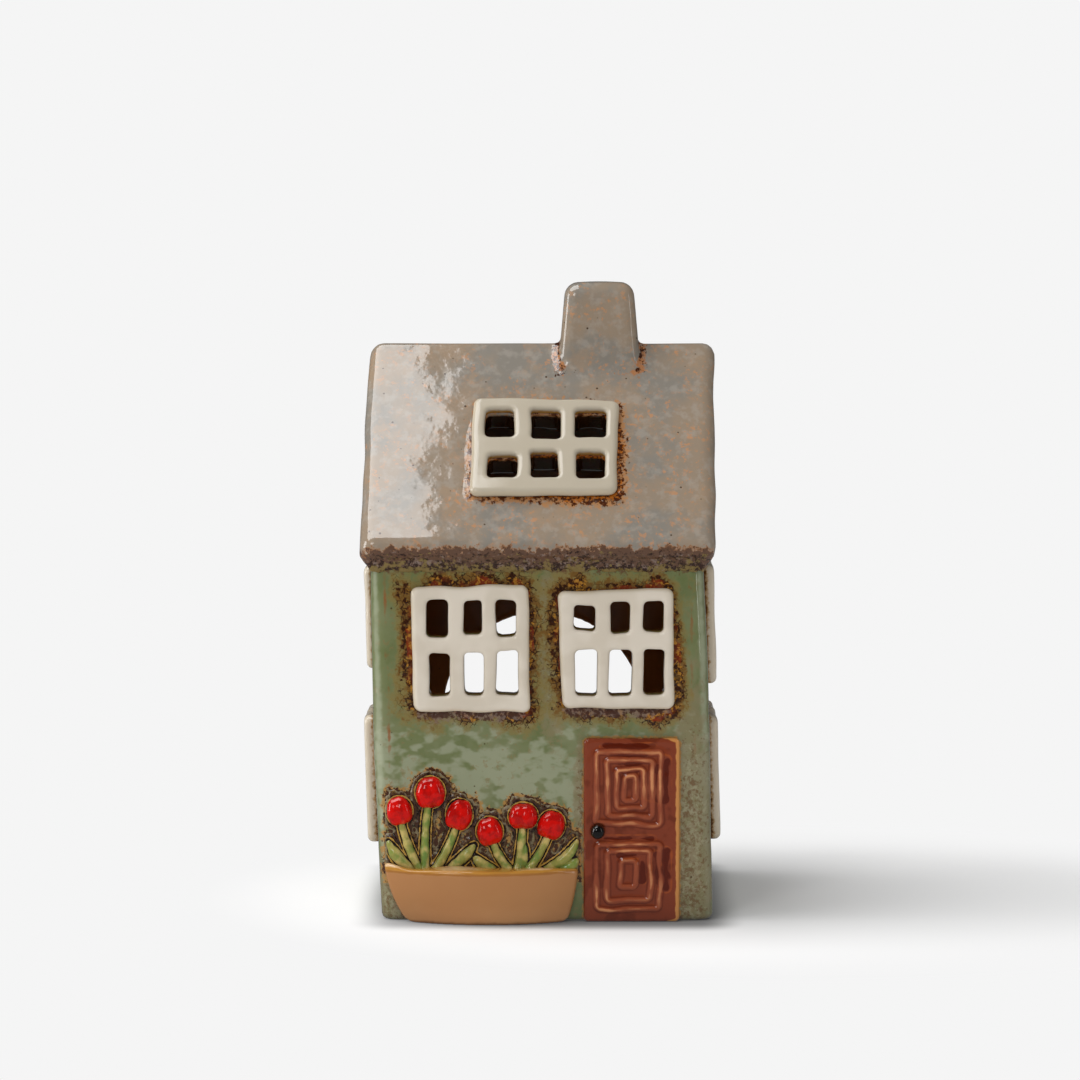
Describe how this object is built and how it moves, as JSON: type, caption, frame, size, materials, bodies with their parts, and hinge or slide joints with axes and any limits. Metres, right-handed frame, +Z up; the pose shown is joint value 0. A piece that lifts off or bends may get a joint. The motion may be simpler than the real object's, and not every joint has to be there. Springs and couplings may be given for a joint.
{
  "type": "tealight house",
  "caption": "Glazed pottery house that holds a tealight, with pierced window plates, a pitched roof, a chimney, a flower box and an open arched back.",
  "frame": {"origin": "on the surface that the house stands on, under the middle of its four walls", "axes": "+X to the right as seen from the door, +Y from the door to the arched back, +Z up out of the chimney"},
  "size_m": [0.0924, 0.0872, 0.16],
  "materials": {
    "wall_glaze": "celadon green pottery glaze with iron speckle, glossy",
    "floor_clay": "thin green glaze over stoneware, glossy",
    "roof_glaze": "warm grey pottery glaze with iron pinholes, glossy",
    "plate_glaze": "ivory pottery glaze, glossy",
    "door_glaze": "chestnut pottery glaze pooled in the recesses, glossy",
    "knob_glaze": "black pottery glaze, glossy",
    "trough_glaze": "caramel pottery glaze, glossy",
    "bloom_glaze": "red pottery glaze, glossy",
    "stem_glaze": "green and yellow pottery glaze, glossy",
    "leaf_glaze": "olive pottery glaze, glossy",
    "cup_metal": "pressed thin sheet",
    "wax": "white candle wax, satin",
    "wick": "waxed cotton braid",
    "tab_metal": "pressed thin sheet"
  },
  "bodies": {
    "house": {"base_slab": "floor_clay", "front_wall": "wall_glaze", "back_wall": "wall_glaze", "left_wall": "wall_glaze", "right_wall": "wall_glaze", "front_roof_slab": "roof_glaze", "rear_roof_slab": "roof_glaze", "chimney": "roof_glaze", "front_window_left": "plate_glaze", "front_window_right": "plate_glaze", "roof_window": "plate_glaze", "side_window_left_upper": "plate_glaze", "side_window_left_lower": "plate_glaze", "side_window_right_upper": "plate_glaze", "side_window_right_lower": "plate_glaze", "door_panel": "door_glaze", "door_knob": "knob_glaze", "flower_box": "trough_glaze", "tulip_head_1": "bloom_glaze", "tulip_head_2": "bloom_glaze", "tulip_head_3": "bloom_glaze", "tulip_head_4": "bloom_glaze", "tulip_head_5": "bloom_glaze", "tulip_head_6": "bloom_glaze", "tulip_stem_1": "stem_glaze", "tulip_stem_2": "stem_glaze", "tulip_stem_3": "stem_glaze", "tulip_stem_4": "stem_glaze", "tulip_stem_5": "stem_glaze", "tulip_stem_6": "stem_glaze", "leaf_1": "leaf_glaze", "leaf_2": "leaf_glaze", "leaf_3": "leaf_glaze", "leaf_4": "leaf_glaze", "leaf_5": "leaf_glaze", "leaf_6": "leaf_glaze"},
    "tealight": {"tealight_cup": "cup_metal", "tealight_wax": "wax", "tealight_wick": "wick", "wick_tab": "tab_metal"}
  },
  "joints": [
    {"name": "tealight_slide", "type": "slide", "parent": "house", "child": "tealight", "axis": [0, 1, 0], "range_m": [0, 0.08]}
  ]
}
